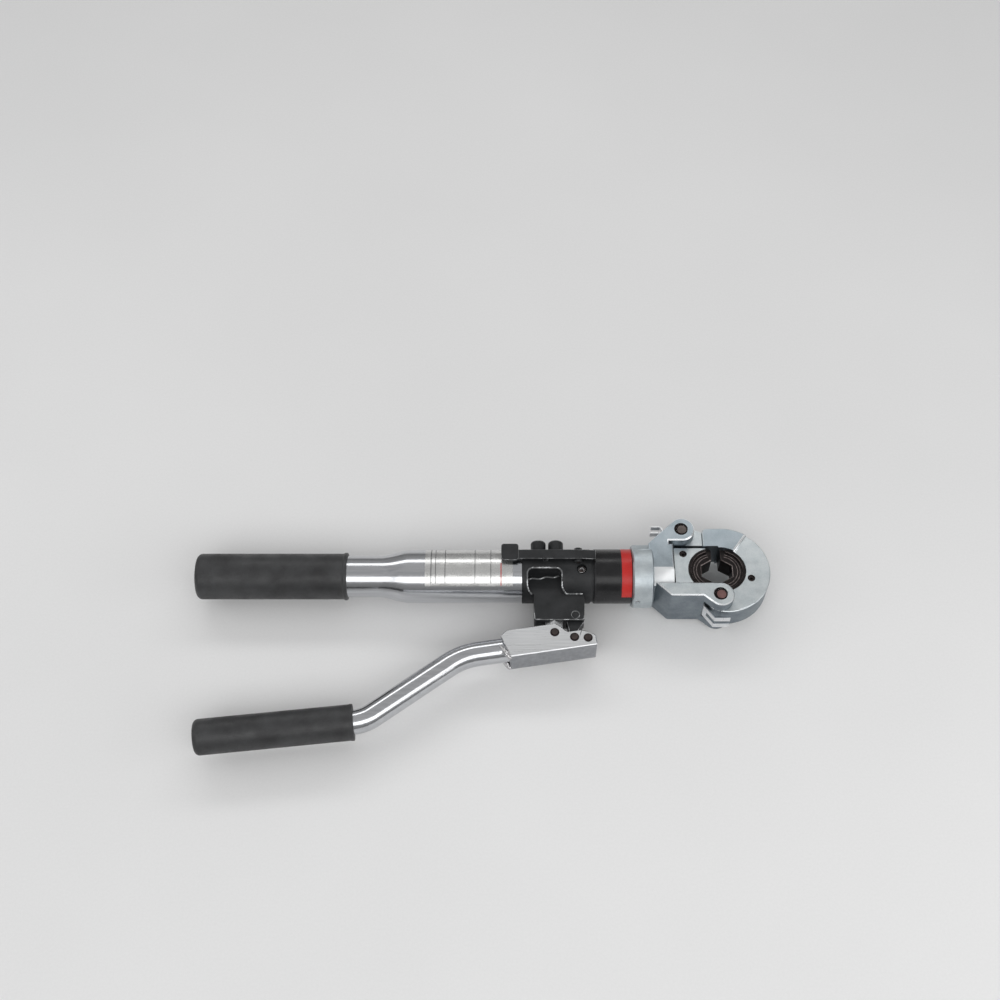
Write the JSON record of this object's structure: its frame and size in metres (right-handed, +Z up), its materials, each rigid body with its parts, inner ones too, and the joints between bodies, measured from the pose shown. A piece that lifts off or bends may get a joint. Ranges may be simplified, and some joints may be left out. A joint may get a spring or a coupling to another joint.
{
  "type": "hydraulic cable crimping tool",
  "caption": "Hand-pumped hydraulic cable crimping tool: reservoir handle, pump lever, and a swivelling C head with pull-out pins and round dies with a hexagonal nest.",
  "frame": {"origin": "centre of the fixed grip's flat rear end, on the tool's axis", "axes": "+X along the tool towards the crimping head, +Y away from the pump lever, +Z up as the tool lies flat, towards the release lever"},
  "size_m": [0.6, 0.2528, 0.0672],
  "materials": {
    "grip_rubber": "matte moulded rubber",
    "polished_tube": "polished, light scratches",
    "zinc_forging": "satin zinc plating",
    "bracket_steel": "bright brushed sheet",
    "black_casting": "satin black paint",
    "dark_pin": "oxidised round steel",
    "die_steel": "black-brown oxide",
    "bright_screw": "bright zinc",
    "spring_steel": "bright spring steel",
    "seal_rubber": "smooth nitrile rubber",
    "hidden_steel": "ground steel"
  },
  "bodies": {
    "tool_body": {"fixed_grip": "grip_rubber", "reservoir_tube": "polished_tube", "tube_end_plug": "hidden_steel", "oil_bladder": "seal_rubber", "bladder_clamp": "spring_steel", "pump_body": "black_casting", "gland_nut": "bright_screw", "plunger_seal": "seal_rubber", "suction_valve_cap": "black_casting", "suction_valve_ball": "hidden_steel", "delivery_valve_cap": "black_casting", "delivery_valve_ball": "hidden_steel", "pocket_screw": "bright_screw", "link_foot_pin": "dark_pin", "release_pivot_pin": "dark_pin", "release_spring": "spring_steel", "cylinder_barrel": "black_casting", "swivel_ring": "spring_steel"},
    "pump_link": {"pump_link": "black_casting"},
    "lever": {"lever_bracket": "bracket_steel", "plunger_pin": "dark_pin", "lever_pivot_pin": "dark_pin", "lever_stop_pin": "dark_pin", "lever_tube": "polished_tube", "lever_grip": "grip_rubber"},
    "plunger": {"pump_plunger": "hidden_steel"},
    "release_lever": {"release_lever": "black_casting"},
    "release_stem": {"release_stem": "hidden_steel"},
    "head": {"head_fork": "zinc_forging", "head_set_screw": "bright_screw", "c_jaw": "zinc_forging", "jaw_die_pin": "dark_pin", "fixed_die": "die_steel", "hinge_leaf_spring": "spring_steel", "latch_leaf_spring": "spring_steel", "return_spring": "spring_steel"},
    "ram": {"piston": "hidden_steel", "piston_seal": "seal_rubber", "die_holder": "zinc_forging", "holder_die_pin": "dark_pin", "moving_die": "die_steel"},
    "hinge_pin": {"hinge_pin": "dark_pin"},
    "latch_pin": {"latch_pin": "dark_pin"}
  },
  "joints": [
    {"name": "pump_link_swing", "type": "hinge", "parent": "tool_body", "child": "pump_link", "pos_m": [0.3955, -0.05, 0], "axis": [0, 0, 1], "range_deg": [-1.3, 0.1]},
    {"name": "lever_swing", "type": "hinge", "parent": "pump_link", "child": "lever", "pos_m": [0.3935, -0.0777, 0], "axis": [0, 0, 1], "range_deg": [0, 42]},
    {"name": "plunger_slide", "type": "slide", "parent": "tool_body", "child": "plunger", "axis": [0, -1, 0], "range_m": [0, 0.0148]},
    {"name": "release_press", "type": "hinge", "parent": "tool_body", "child": "release_lever", "pos_m": [0.399, 0.0086, 0.0296], "axis": [0, -1, 0], "range_deg": [0, 2], "stiffness_Nm_per_rad": 2, "springref_deg": -8.59},
    {"name": "release_stem_slide", "type": "slide", "parent": "tool_body", "child": "release_stem", "axis": [0, 0, -1], "range_m": [0, 0.0013], "deforming": ["release_spring"]},
    {"name": "head_swivel", "type": "hinge", "parent": "tool_body", "child": "head", "pos_m": [0.463, 0, 0], "axis": [1, 0, 0], "continuous": true},
    {"name": "ram_slide", "type": "slide", "parent": "head", "child": "ram", "axis": [1, 0, 0], "range_m": [0, 0.0094], "stiffness_N_per_m": 4000, "springref_m": -0.012, "deforming": ["return_spring"]},
    {"name": "hinge_pin_pull", "type": "slide", "parent": "head", "child": "hinge_pin", "axis": [0, 0, -1], "range_m": [0, 0.045]},
    {"name": "latch_pin_pull", "type": "slide", "parent": "head", "child": "latch_pin", "axis": [0, 0, -1], "range_m": [0, 0.045]}
  ],
  "couplings": [
    {"joint": "pump_link_swing", "follows": "lever_swing", "ratio": -0.0295},
    {"joint": "plunger_slide", "follows": "lever_swing", "m_per_rad": 0.0197},
    {"joint": "release_stem_slide", "follows": "release_press", "m_per_rad": 0.034}
  ]
}
